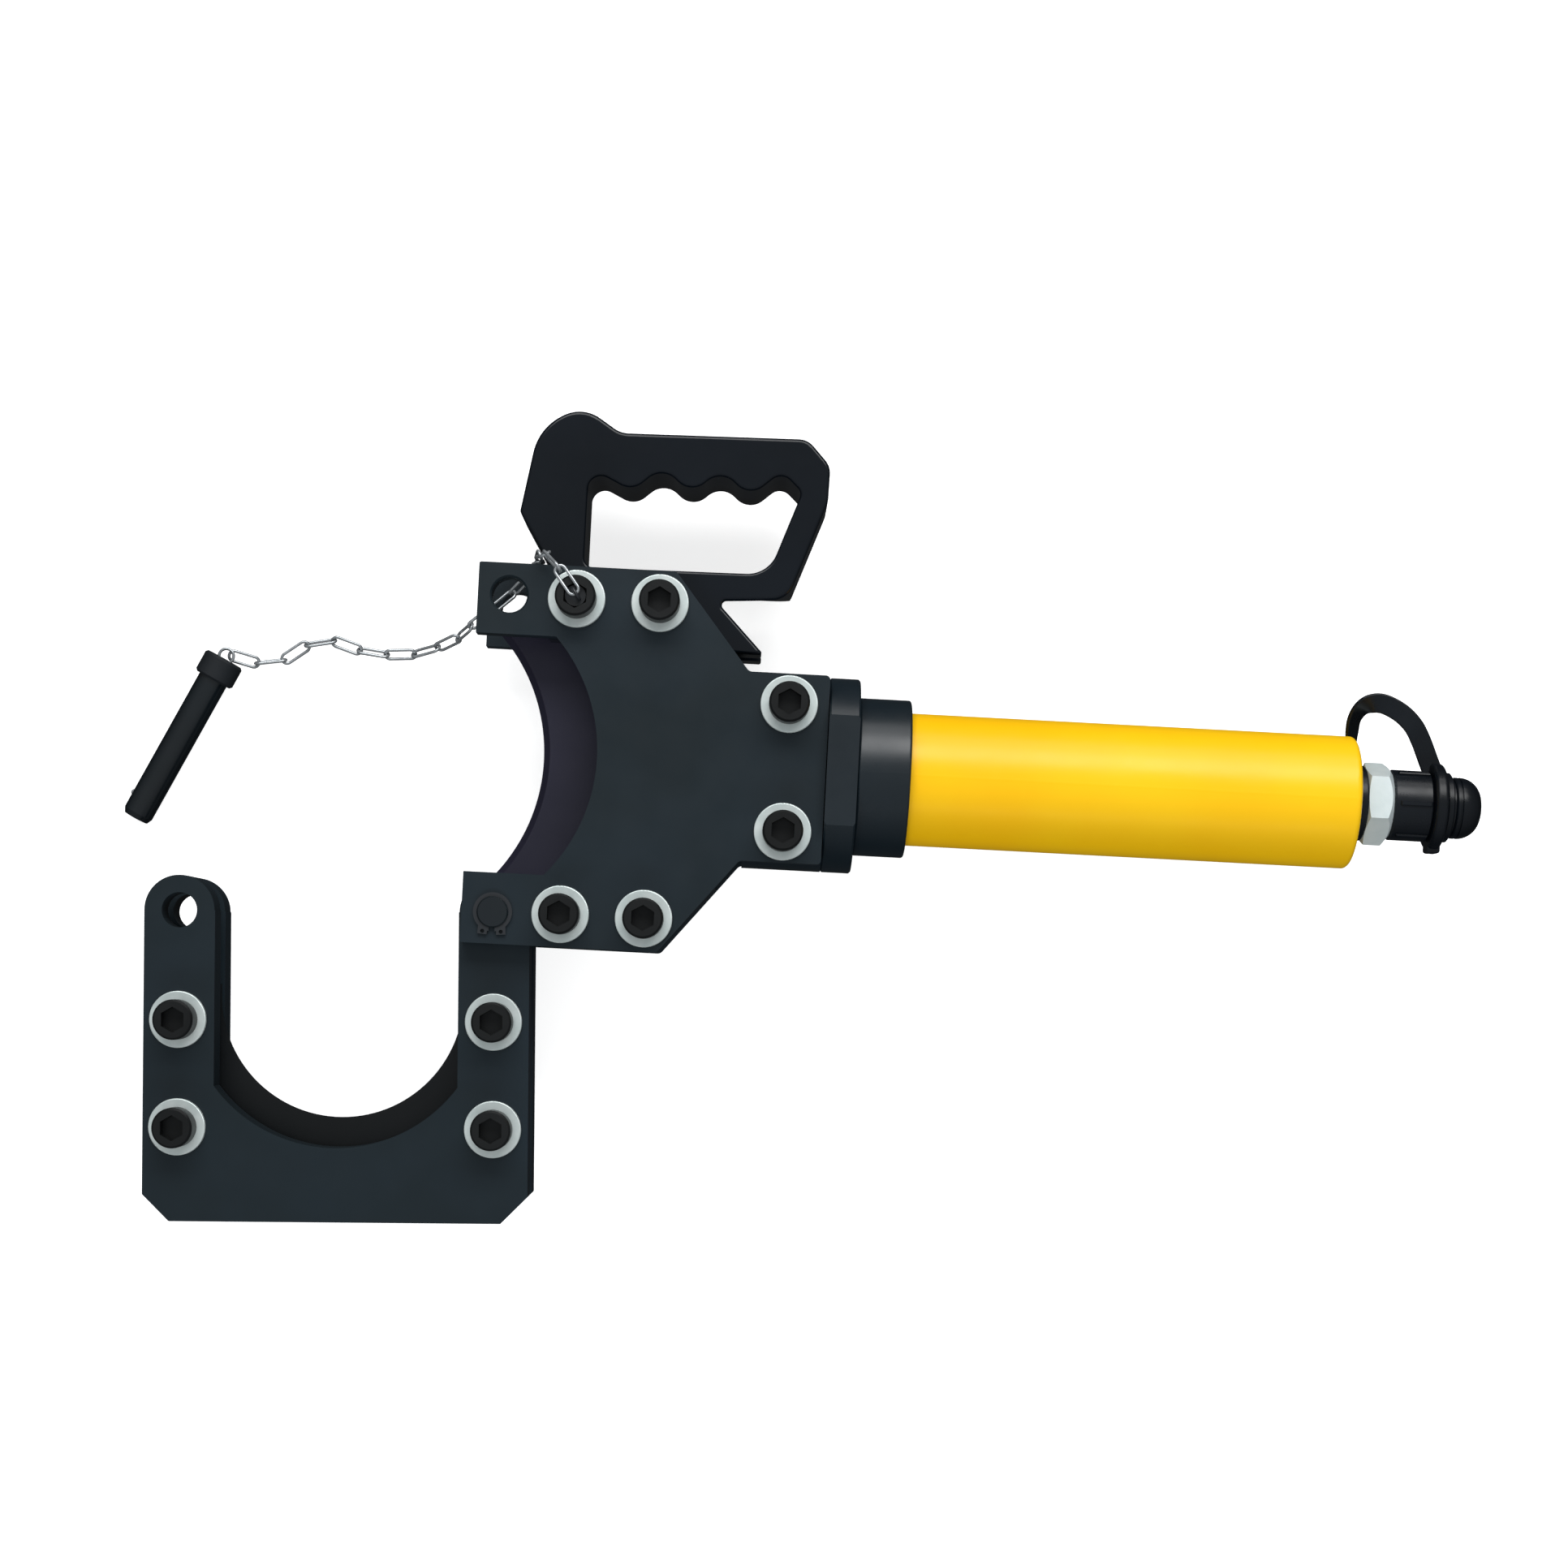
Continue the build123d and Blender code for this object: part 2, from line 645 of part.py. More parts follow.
def blade_clamp():
    """The upper jaw that screws down on the blade."""
    low = BLADE_GAP + BLADE_T + 0.02
    body = box(
        (CARRIAGE_FRONT_X, -CARRIAGE_HALF_Y, low),
        (BLADE_BACK_X + 0.2, CARRIAGE_HALF_Y, CARRIAGE_HALF_T),
    )
    front_rim = body.edges().filter_by(Axis.Y).group_by(Axis.X)[0].sort_by(Axis.Z)[-1]
    body = chamfer(front_rim, JAW_CHAMFER)
    body -= holes(BLADE_SCREWS, BLADE_SCREW_D / 2 + 0.3, low, CARRIAGE_HALF_T)
    floor = CARRIAGE_HALF_T - SCREW_POCKET_DEPTH
    return body - [post(SCREW_POCKET_D / 2, floor, CARRIAGE_HALF_T + 1, x, y) for x, y in BLADE_SCREWS]


def blade_screws():
    """M8 socket screws sunk in the clamp."""
    screws = []
    for x, y in BLADE_SCREWS:
        seat = CARRIAGE_HALF_T - SCREW_POCKET_DEPTH
        head = post(SCREW_HEAD_D / 2, seat, seat + SCREW_HEAD_H, x, y)
        head -= slab(Pos(x, y) * hexagon(6.0, 30), seat + SCREW_HEAD_H / 2, seat + SCREW_HEAD_H + 1)
        screws.append(head + post(BLADE_SCREW_D / 2, -12, seat, x, y))
    return group(screws)


def moving_blade():
    """A plate with a round hollow edge, ground on the near side and flat on its shearing side."""
    low = BLADE_GAP
    high = BLADE_GAP + BLADE_T
    arc_x = BLADE_TIP_X - BLADE_ARC_R
    blank = Pos((BLADE_BACK_X - 12) / 2, 0) * Rectangle(BLADE_BACK_X + 12, 2 * BLADE_HALF_Y)
    rear = [v for v in blank.vertices() if v.X > 50]
    face = chamfer(rear, 6.0) - Pos(arc_x, 0) * Circle(BLADE_ARC_R)
    body = slab(face, low, high)
    body -= cone_cut(arc_x, 0, BLADE_ARC_R, BLADE_ARC_R + MOVING_BEVEL_W, low + EDGE_LAND, high + 0.001)
    tips = body.edges().filter_by(Axis.Z).group_by(Axis.X)[0]
    body = chamfer(tips, 1.0)
    return body - holes(BLADE_SCREWS, BLADE_SCREW_D / 2 + 0.2, low, high)


# ---- yoke ----


def on_yoke(shape):
    """Turns a shape drawn in the yoke's own directions into its open place on the head."""
    u_axis = (-cos(radians(YOKE_REST_DEG)), -sin(radians(YOKE_REST_DEG)), 0)
    return Plane(origin=(0, -EAR_Y, 0), x_dir=u_axis, z_dir=(0, 0, 1)) * shape


def yoke_outline(inset=0.0):
    """The yoke's outer outline, round at the two arm ends and chamfered at the base."""
    side = -ARM_R + inset
    far_side = HOLE_SPACING + ARM_R - inset
    base = BASE_V - inset
    cut = BASE_CHAMFER
    r = ARM_R - inset
    points = [
        (side, -r),
        (side, base - cut),
        (side + cut, base),
        (far_side - cut, base),
        (far_side, base - cut),
        (far_side, -r),
        (far_side - 2 * r, -r),
        (far_side - 2 * r, 0),
        (side + 2 * r, 0),
        (side + 2 * r, -r),
    ]
    near_r = r - 0.01
    return outline(points, [near_r, 1.0, 1.0, 1.0, 1.0, near_r, near_r, 0, 0, near_r])


def throat_face():
    """The opening between the arms: straight sides and a round bottom."""
    width = HOLE_SPACING - 2 * THROAT_INSET
    rise = THROAT_BOTTOM_V - THROAT_V
    radius = (width * width / 4 + rise * rise) / (2 * rise)
    straight = Pos(HOLE_SPACING / 2, (THROAT_V - 60) / 2) * Rectangle(width, THROAT_V + 60)
    bottom = Pos(HOLE_SPACING / 2, THROAT_BOTTOM_V - radius) * Circle(radius)
    below = Pos(HOLE_SPACING / 2, THROAT_V + 30) * Rectangle(width, 60)
    return straight + (bottom & below)


def yoke_plate(low):
    high = low + YOKE_T / 2 - HALF_SLOT
    body = slab(yoke_outline() - throat_face(), low, high)
    body -= holes([(0, 0)], BUSH_D / 2 + 0.02, low, high)
    return body - holes([(HOLE_SPACING, 0)], EAR_HOLE_D / 2, low, high)


def yoke_plate_near():
    return on_yoke(yoke_plate(HALF_SLOT) - holes(YOKE_BOLTS, BOLT_HOLE_D / 2, HALF_SLOT, YOKE_T / 2))


def yoke_plate_far():
    body = yoke_plate(-YOKE_T / 2)
    return on_yoke(body - holes(YOKE_BOLTS, BOLT_D / 2 + THREAD_GAP, -YOKE_T / 2, -HALF_SLOT))


def yoke_core_face():
    """The base and the two columns between the yoke's plates."""
    arms_cut = Pos(HOLE_SPACING / 2, FILLER_TOP_V - 50) * Rectangle(HOLE_SPACING * 2, 100)
    return yoke_outline(FILLER_INSET) - arms_cut


def yoke_spacer():
    """The near half of the core: a U that leaves a channel for the moving blade."""
    width = HOLE_SPACING - 2 * FILLER_COLUMN_W
    middle_v = (FILLER_TOP_V + FILLER_BOTTOM_V) / 2
    channel = Pos(HOLE_SPACING / 2, middle_v - 5) * Rectangle(width, FILLER_BOTTOM_V - FILLER_TOP_V + 10)
    body = slab(yoke_core_face() - channel, 0.02, HALF_SLOT - 0.02)
    return on_yoke(body - holes(YOKE_BOLTS, BOLT_HOLE_D / 2, 0, HALF_SLOT))


def fixed_blade():
    """The far half of the core: a plate with a round edge, ground on the far side."""
    low = -HALF_SLOT + BLADE_GAP
    high = -BLADE_GAP
    middle = HOLE_SPACING / 2
    mouth = Pos(middle, FIXED_ARC_V) * Circle(FIXED_ARC_R)
    above = Pos(middle, FIXED_ARC_V - 25) * Rectangle(2 * FIXED_ARC_R, 50)
    body = slab(yoke_core_face() - mouth - above, low, high)
    wide = FIXED_ARC_R + FIXED_BEVEL_W
    body -= cone_cut(middle, FIXED_ARC_V, wide, FIXED_ARC_R, low - 0.001, high - EDGE_LAND)
    return on_yoke(body - holes(YOKE_BOLTS, BOLT_HOLE_D / 2, low, high))


def pivot_bush():
    body = post(BUSH_D / 2, -YOKE_T / 2, YOKE_T / 2) - post(PIN_D / 2 + 0.05, -YOKE_T, YOKE_T)
    return on_yoke(body)


def yoke_bolts():
    return on_yoke(group([socket_bolt(u, v, YOKE_T / 2 + WASHER_T, -YOKE_T / 2 + 4) for u, v in YOKE_BOLTS]))


def yoke_washers():
    return on_yoke(group([washer(u, v, YOKE_T / 2) for u, v in YOKE_BOLTS]))


# ---- hose nipple and dust cap ----


def nipple_hexagon():
    """The spanner hexagon, with a cone turned off its corners at both ends."""
    corner = HEX_AF / sqrt(3)
    place = Plane(origin=(NECK_END_X, 0, 0), x_dir=(0, 1, 0), z_dir=(1, 0, 0)) * Rot(0, 0, HEX_TURN_DEG)
    blank = extrude(place * RegularPolygon(corner, 6), amount=HEX_END_X - NECK_END_X)
    crown = turned([
        (NECK_END_X, 0),
        (NECK_END_X, HEX_FRONT_R),
        (NECK_END_X + HEX_FRONT_CHAMFER, corner),
        (HEX_END_X - HEX_BACK_CHAMFER, corner),
        (HEX_END_X, HEX_BACK_R),
        (HEX_END_X, 0),
    ])
    return (blank & crown) - bar(BARREL_R - 2, NECK_END_X - 1, HEX_END_X + 1)


def hose_nipple():
    """A screwed stub, a neck for the strap, a hexagon and a barrel with a flat-faced valve seat."""
    profile = [
        (TUBE_FLOOR_X + 0.5, PORT_R),
        (TUBE_FLOOR_X + 0.5, NIPPLE_STUB_R),
        (TUBE_END_X + 0.02, NIPPLE_STUB_R),
        (TUBE_END_X + 0.02, NECK_R),
        (NECK_END_X, NECK_R),
        (NECK_END_X, BARREL_R - 1),
        (HEX_END_X - 1, BARREL_R - 1),
        (HEX_END_X - 1, BARREL_R),
        (BARREL_END_X - 0.8, BARREL_R),
        (BARREL_END_X, BARREL_R - 0.8),
        (BARREL_END_X, SEAT_R),
        (BARREL_END_X - 2.5, SEAT_R),
        (BARREL_END_X - 4.5, CHAMBER_R),
        (BARREL_END_X - 22, CHAMBER_R),
        (BARREL_END_X - 22, PORT_R),
    ]
    body = turned(profile) + nipple_hexagon()
    return body - ring(BARREL_R + 1, BARREL_R - 1.2, *BARREL_GROOVE_X)


def nipple_seal():
    return ring(15.0, NECK_R + 0.05, TUBE_END_X + 0.05, TUBE_END_X + 1.0)


def nipple_poppet():
    """The valve that the hose coupling pushes inwards."""
    front = BARREL_END_X
    profile = [
        (front - 0.2, 0),
        (front - 0.2, SEAT_R - POPPET_FIT),
        (front - 2.6, SEAT_R - POPPET_FIT),
        (front - 4.7, CHAMBER_R - POPPET_FIT),
        (front - 9.0, CHAMBER_R - POPPET_FIT),
        (front - 9.0, 3.0),
        (front - 15.0, 3.0),
        (front - 15.0, 0),
    ]
    return turned(profile)


def poppet_spring():
    place = Plane(origin=(BARREL_END_X - 21.0, 0, 0), z_dir=(1, 0, 0))
    return coil(0.6, 5.4, 11.0, 5, place)


def cap_profile():
    """Half the cap's section: the sleeve, the neck for the strap's eye, a collar and a domed knob."""
    mouth = BARREL_R + CAP_FIT
    bottom = BARREL_END_X + 0.4
    collar = EYE_END_X + 0.4
    dome_start = EYE_END_X + 8.4
    flat_r = 6.0
    side = Polyline(
        (CAP_FRONT_X, mouth),
        (CAP_FRONT_X, CAP_R - 0.6),
        (CAP_FRONT_X + 0.6, CAP_R),
        (CAP_SHOULDER_X - 1.0, CAP_R),
        (CAP_SHOULDER_X, CAP_R - 1.0),
        (CAP_SHOULDER_X, CAP_NECK_R),
        (collar, CAP_NECK_R),
        (collar, 15.0),
        (collar + 0.7, 15.8),
        (collar + 2.7, 15.8),
        (collar + 3.3, 15.0),
        (collar + 3.3, 12.8),
        (collar + 4.5, 12.8),
        (collar + 4.8, KNOB_R - 0.4),
        (collar + 5.3, KNOB_R),
        (collar + 6.6, KNOB_R),
        (collar + 6.9, KNOB_R - 0.6),
        (collar + 7.3, KNOB_R - 0.6),
        (collar + 7.6, KNOB_R),
        (dome_start, KNOB_R),
    )
    dome = ThreePointArc(
        (dome_start, KNOB_R),
        (dome_start + 0.74 * (KNOB_END_X - dome_start), KNOB_R - 3.1),
        (KNOB_END_X, flat_r),
    )
    back = [(bottom, 0), (bottom, mouth), (CAP_FRONT_X, mouth)]
    closing = Polyline((KNOB_END_X, flat_r), (KNOB_END_X, 0), *back)
    return make_face([side, dome, closing])


def dust_cap():
    """A ribbed cup over the nipple, drawn out into a neck and a ringed knob to pull it by."""
    body = revolve(cap_profile(), Axis.X)
    rib = box((CAP_FRONT_X + 2.3, -RIB_W / 2, CAP_R - 0.6), (CAP_SHOULDER_X - 1.2, RIB_W / 2, CAP_R + RIB_H))
    rib = chamfer(rib.edges().group_by(Axis.Z)[-1], 0.4)
    for step in range(RIB_COUNT):
        body += Rot(360 * step / RIB_COUNT, 0, 0) * rib
    return body


def cap_strap():
    """The rubber band between the two rings, in one open loop on the handle's side."""
    line = FilletPolyline(*STRAP_ROUTE, radius=STRAP_RADII)
    return slab(trace(line, line_width=STRAP_T), -STRAP_W / 2, STRAP_W / 2)


def strap_neck_ring():
    body = ring(NECK_RING_R, NECK_R + 0.1, TUBE_END_X + 1.1, NECK_END_X - 0.1)
    return fillet(body.edges().filter_by(GeomType.CIRCLE).sort_by(SortBy.RADIUS)[-2:], 0.8)


def strap_eye_ring():
    body = bar(EYE_RING_R, CAP_SHOULDER_X + 0.1, EYE_END_X + 0.2)
    body = fillet(body.edges().filter_by(GeomType.CIRCLE), 2.0)
    tab = box((CAP_SHOULDER_X + 0.1, -EYE_RING_R - 1.4, -4.5), (EYE_END_X + 0.2, -EYE_RING_R + 4, 4.5))
    body += fillet(tab.edges().group_by(Axis.Y)[0], 1.4)
    return body - bar(CAP_NECK_R + 0.1, CAP_SHOULDER_X, EYE_END_X + 1)


# ---- lock pin, lying on the floor ----


def pin_place():
    """The pin's own frame: origin at the top of the cap, +X towards the tip, +Y to its ball."""
    dx = PIN_TIP[0] - PIN_TOP[0]
    dy = PIN_TIP[1] - PIN_TOP[1]
    drop = (CAP_D - PIN_D) / 2
    tilt = asin(drop / (PIN_L - NOSE_L - CAP_L))
    heading = atan2(dy, dx)
    level = FLOOR_Z + CAP_D / 2 + CAP_L * sin(tilt)
    along = (cos(heading) * cos(tilt), sin(heading) * cos(tilt), -sin(tilt))
    to_ball = (sin(heading), -cos(heading), 0)
    up = Vector(*along).cross(Vector(*to_ball))
    return Plane(origin=(*PIN_TOP, level), x_dir=along, z_dir=up)


def lock_pin():
    """The shaft, with a spigot in the cap, a tapered nose and a cross hole for the detent."""
    profile = [
        (CAP_FLOOR, 0),
        (CAP_FLOOR, CAP_SPIGOT_R),
        (CAP_L, CAP_SPIGOT_R),
        (CAP_L, PIN_D / 2),
        (PIN_L - NOSE_L, PIN_D / 2),
        (PIN_L, PIN_D / 2 - NOSE_TAPER),
        (PIN_L, 0),
    ]
    body = turned(profile)
    hole = Plane(origin=(PIN_L - BALL_FROM_TIP, -1.5, 0), z_dir=(0, 1, 0))
    body -= hole * Cylinder(BALL_D / 2 + 0.06, PIN_D, align=STAND)
    return pin_place() * body


def pin_cap():
    body = bar(CAP_D / 2, 0, CAP_L - 0.02) - bar(CAP_SPIGOT_R + 0.02, CAP_FLOOR - 0.1, CAP_L)
    body = chamfer(body.edges().filter_by(GeomType.CIRCLE).sort_by(SortBy.RADIUS)[-2:], 1.0)
    return pin_place() * (body - wire_eye(LINK_WIRE / 2 + 0.12))


def wire_eye(wire_r):
    """A ring of wire through the top of the cap."""
    return Pos(PIN_EYE_X, 0, 0) * Torus(PIN_EYE_R, wire_r)


def pin_eye():
    return pin_place() * wire_eye(LINK_WIRE / 2)


def detent_ball():
    centre = Pos(PIN_L - BALL_FROM_TIP, PIN_D / 2 - BALL_D / 2 + BALL_OUT, 0)
    return pin_place() * centre * Sphere(BALL_D / 2)


def detent_spring():
    low = -1.0
    high = PIN_D / 2 - BALL_D + BALL_OUT - 0.5
    place = Plane(origin=(PIN_L - BALL_FROM_TIP, low, 0), z_dir=(0, 1, 0))
    return pin_place() * coil(0.2, 1.1, high - low, 5, place)


# ---- chain ----


def chain_link(start, end, upright):
    """One stadium-shaped link between two joints of the chain, with its flat side facing one way."""
    half = (LINK_L - LINK_W) / 2
    mean_r = (LINK_W - LINK_WIRE) / 2
    place = Plane(origin=(start + end) * 0.5, x_dir=end - start, z_dir=upright)
    sides = [Pos(0, s * mean_r, 0) * (Rot(0, 90, 0) * Cylinder(LINK_WIRE / 2, 2 * half)) for s in (1, -1)]
    ends = []
    for s in (1, -1):
        rim = Torus(mean_r, LINK_WIRE / 2)
        keep = Pos(s * LINK_L / 2, 0, 0) * Box(LINK_L, LINK_L, LINK_L)
        ends.append(Pos(s * half, 0, 0) * (rim & keep))
    body = sides[0] + sides[1] + ends[0] + ends[1]
    return place * body


def turned_about(direction, roll):
    """The upright across a direction, turned about that direction by a roll in degrees."""
    along = direction.normalized()
    level = Vector(0, 0, 1).cross(along).normalized()
    return along.cross(level) * cos(radians(roll)) + level * sin(radians(roll))


def chain_links():
    """Every link in order from the pin to the bolt, each turned across the link before it."""
    joints = [Vector(*joint) for joint in CHAIN_JOINTS]
    facing = turned_about(joints[1] - joints[0], FIRST_LINK_ROLL)
    links = []
    for start, end in zip(joints, joints[1:]):
        along = (end - start).normalized()
        facing = (facing - along * facing.dot(along)).normalized()
        links.append(chain_link(start, end, facing))
        across = along.cross(facing)
        facing = across * cos(radians(LINK_TWIST)) - facing * sin(radians(LINK_TWIST))
    return links


CHAIN = chain_links()


def chain_floor_links():
    return group(CHAIN[:FLOOR_LINKS])


def chain_clevis_links():
    return group(CHAIN[FLOOR_LINKS:FLOOR_LINKS + CLEVIS_LINKS])


def chain_top_links():
    return group(CHAIN[FLOOR_LINKS + CLEVIS_LINKS:])


def chain_anchor():
    """A plug pressed in the hexagon socket of the front upper bolt, with an eye for the last link."""
    x, y = HEAD_BOLTS[0]
    floor = HEAD_TOP_Z - SOCKET_DEPTH
    eye_z = HEAD_TOP_Z + ANCHOR_EYE_RISE
    plug = post(ANCHOR_PLUG_R, floor + 0.1, eye_z - ANCHOR_EYE_R, x, y)
    across = (cos(radians(ANCHOR_TURN_DEG)), sin(radians(ANCHOR_TURN_DEG)), 0)
    eye = Plane(origin=(x + ANCHOR_SHIFT, y + ANCHOR_SHIFT, eye_z), z_dir=across)
    return plug + eye * Torus(ANCHOR_EYE_R, ANCHOR_WIRE_R)


PARTS = {
    "head_plate_near": head_plate_near,
    "head_plate_far": head_plate_far,
    "carry_handle": carry_handle,
    "lower_spacer": lower_spacer,
    "head_bolts": head_bolts,
    "head_washers_near": head_washers_near,
    "head_washers_far": head_washers_far,
    "head_nuts": head_nuts,
    "pivot_pin": pivot_pin,
    "pivot_circlips": pivot_circlips,
    "cylinder_head": cylinder_head,
    "cylinder_collar": cylinder_collar,
    "cylinder_tube": cylinder_tube,
    "rod_bush": rod_bush,
    "rod_seal": rod_seal,
    "rod_wiper": rod_wiper,
    "tube_seal": tube_seal,
    "hose_nipple": hose_nipple,
    "nipple_seal": nipple_seal,
    "nipple_poppet": nipple_poppet,
    "poppet_spring": poppet_spring,
    "ram": ram,
    "piston": piston,
    "piston_seal": piston_seal,
    "piston_wear_ring": piston_wear_ring,
    "piston_nut": piston_nut,
    "return_spring": return_spring,
    "blade_carriage": blade_carriage,
    "blade_clamp": blade_clamp,
    "blade_screws": blade_screws,
    "moving_blade": moving_blade,
    "yoke_plate_near": yoke_plate_near,
    "yoke_plate_far": yoke_plate_far,
    "yoke_spacer": yoke_spacer,
    "fixed_blade": fixed_blade,
    "pivot_bush": pivot_bush,
    "yoke_bolts": yoke_bolts,
    "yoke_washers": yoke_washers,
    "dust_cap": dust_cap,
    "cap_strap": cap_strap,
    "strap_neck_ring": strap_neck_ring,
    "strap_eye_ring": strap_eye_ring,
    "lock_pin": lock_pin,
    "pin_cap": pin_cap,
    "pin_eye": pin_eye,
    "detent_ball": detent_ball,
    "detent_spring": detent_spring,
    "chain_floor_links": chain_floor_links,
    "chain_clevis_links": chain_clevis_links,
    "chain_top_links": chain_top_links,
    "chain_anchor": chain_anchor,
}

os.makedirs("parts", exist_ok=True)
to_frame = Pos(-ORIGIN[0], -ORIGIN[1], -ORIGIN[2])
low_corner = [1e9] * 3
high_corner = [-1e9] * 3
for name, make in PARTS.items():
    shape = to_frame * make()
    export_step(shape, f"parts/{name}.step")
    bounds = shape.bounding_box()
    low_corner = [min(a, b) for a, b in zip(low_corner, bounds.min)]
    high_corner = [max(a, b) for a, b in zip(high_corner, bounds.max)]
print("low corner", [round(value, 2) for value in low_corner])
print("high corner", [round(value, 2) for value in high_corner])
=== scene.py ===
"""Looks for the guillotine rescue cutter: camera, materials, copies of the springs and chain links, the soft strap
and light.
"""

import json
import math

import bpy
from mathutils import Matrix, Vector


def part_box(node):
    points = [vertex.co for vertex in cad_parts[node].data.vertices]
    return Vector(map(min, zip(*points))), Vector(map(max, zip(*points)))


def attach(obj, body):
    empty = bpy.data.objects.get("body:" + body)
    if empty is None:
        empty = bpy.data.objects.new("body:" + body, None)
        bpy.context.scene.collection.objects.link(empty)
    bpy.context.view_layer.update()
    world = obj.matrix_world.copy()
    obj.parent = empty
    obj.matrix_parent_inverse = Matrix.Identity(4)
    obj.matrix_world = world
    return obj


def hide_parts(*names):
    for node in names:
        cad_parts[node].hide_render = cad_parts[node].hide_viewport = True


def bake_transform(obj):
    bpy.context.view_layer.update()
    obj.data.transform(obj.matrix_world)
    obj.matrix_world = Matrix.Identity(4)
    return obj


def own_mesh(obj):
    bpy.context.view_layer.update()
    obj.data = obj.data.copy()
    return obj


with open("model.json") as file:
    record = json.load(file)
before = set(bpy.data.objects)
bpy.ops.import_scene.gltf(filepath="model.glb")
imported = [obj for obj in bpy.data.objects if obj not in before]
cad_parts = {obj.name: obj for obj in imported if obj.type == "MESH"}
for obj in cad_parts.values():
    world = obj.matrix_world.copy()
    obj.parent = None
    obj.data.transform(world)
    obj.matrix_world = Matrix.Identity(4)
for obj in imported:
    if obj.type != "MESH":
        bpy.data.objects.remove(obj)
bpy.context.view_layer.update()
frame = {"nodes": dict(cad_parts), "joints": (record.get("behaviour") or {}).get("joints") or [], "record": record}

NODES = frame["nodes"]
SLOT_OF = {part["node"]: part["material_slot"] for part in frame["record"]["subparts"]}


def joint_named(name):
    return next(joint for joint in frame["joints"] if joint["name"] == name)


def add_object(name, data):
    """A new object in the scene, from a mesh, a camera or a light."""
    made = bpy.data.objects.new(name, data)
    bpy.context.scene.collection.objects.link(made)
    return made


# ---- places, in metres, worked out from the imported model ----

TUBE_LOW, TUBE_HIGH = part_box("cylinder_tube")
AXIS_Y = (TUBE_LOW.y + TUBE_HIGH.y) / 2
AXIS_Z = (TUBE_LOW.z + TUBE_HIGH.z) / 2
NEAR_PLATE_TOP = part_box("head_plate_near")[1].z
PIVOT = joint_named("yoke_pivot")["pos_m"]

# ---- camera: straight above the head, framed off centre ----

CAMERA_TURN_DEG = 3.0
CAMERA_RISE = 1.300
CAMERA_FROM_PIVOT_X = 0.1117
CAMERA_FROM_AXIS_Y = -0.0976
SENSOR_MM = 36.0
LENS_MM = 67.2857
SHIFT_X = 0.0274327
SHIFT_Y = 0.1288820


def add_camera():
    """A camera that looks straight down, shifted so that the whole tool is in the frame."""
    data = bpy.data.cameras.new("camera")
    data.sensor_width = SENSOR_MM
    data.lens = LENS_MM
    data.shift_x = SHIFT_X
    data.shift_y = SHIFT_Y
    camera = add_object("camera", data)
    camera.location = (
        PIVOT[0] + CAMERA_FROM_PIVOT_X,
        AXIS_Y + CAMERA_FROM_AXIS_Y,
        NEAR_PLATE_TOP + CAMERA_RISE,
    )
    camera.rotation_euler = (0, 0, math.radians(CAMERA_TURN_DEG))
    bpy.context.scene.camera = camera


# ---- material kit: a kind of finish takes two colours that it drifts between and its range of roughness ----

# the sockets of a colour mix node, which share their names with its hidden ones
MIX_FIRST = 6
MIX_SECOND = 7
MIX_RESULT = 2

# the range that most values of a noise lie in, and how strong a paint's waves are beside its orange peel
NOISE_LOW = 0.3
NOISE_HIGH = 0.7
WAVE_SHARE = 0.6


class Shader:
    """A node material with one glossy surface, built up a texture at a time in object space."""

    def __init__(self, name, **inputs):
        self.material = bpy.data.materials.new(name)
        self.material.use_nodes = True
        self.tree = self.material.node_tree
        self.surface = self.tree.nodes["Principled BSDF"]
        self.place = self.node("ShaderNodeTexCoord").outputs["Object"]
        self.bump_normal = None
        for key, value in inputs.items():
            self.surface.inputs[key.replace("_", " ")].default_value = value

    def node(self, kind, **values):
        made = self.tree.nodes.new(kind)
        for key, value in values.items():
            setattr(made, key, value)
        return made

    def link(self, output, target):
        self.tree.links.new(output, target)

    def noise(self, scale, detail, rough=0.5):
        """A cloudy value, mostly from NOISE_LOW to NOISE_HIGH, with about scale clouds to the metre."""
        made = self.node("ShaderNodeTexNoise")
        for key, value in (("Scale", scale), ("Detail", detail), ("Roughness", rough)):
            made.inputs[key].default_value = value
        self.link(self.place, made.inputs["Vector"])
        return made.outputs["Fac"]

    def ramp(self, source, low, high, to_low=0, to_high=1):
        """Maps a range of a value to another range."""
        made = self.node("ShaderNodeMapRange")
        for key, value in (("From Min", low), ("From Max", high), ("To Min", to_low), ("To Max", to_high)):
            made.inputs[key].default_value = value
        self.link(source, made.inputs["Value"])
        return made.outputs["Result"]

    def mix(self, factor, first, second):
        """A colour somewhere between two colours."""
        made = self.node("ShaderNodeMix", data_type="RGBA")
        self.link(factor, made.inputs["Factor"])
        made.inputs[MIX_FIRST].default_value = (*first, 1)
        made.inputs[MIX_SECOND].default_value = (*second, 1)
        return made.outputs[MIX_RESULT]

    def colour(self, output):
        self.link(output, self.surface.inputs["Base Color"])

    def roughness(self, output):
        self.link(output, self.surface.inputs["Roughness"])

    def bump(self, height, strength, distance):
        """Adds a height to the surface, on top of any bump already there."""
        made = self.node("ShaderNodeBump")
        made.inputs["Strength"].default_value = strength
        made.inputs["Distance"].default_value = distance
        self.link(height, made.inputs["Height"])
        if self.bump_normal is not None:
            self.link(self.bump_normal, made.inputs["Normal"])
        self.bump_normal = made.outputs["Normal"]
        self.link(self.bump_normal, self.surface.inputs["Normal"])


def shade(value):
    """A linear value from an 8-bit display value, by the sRGB curve."""
    c = value / 255
    return c / 12.92 if c <= 0.04045 else ((c + 0.055) / 1.055) ** 2.4


def rgb(red, green, blue):
    return (shade(red), shade(green), shade(blue))


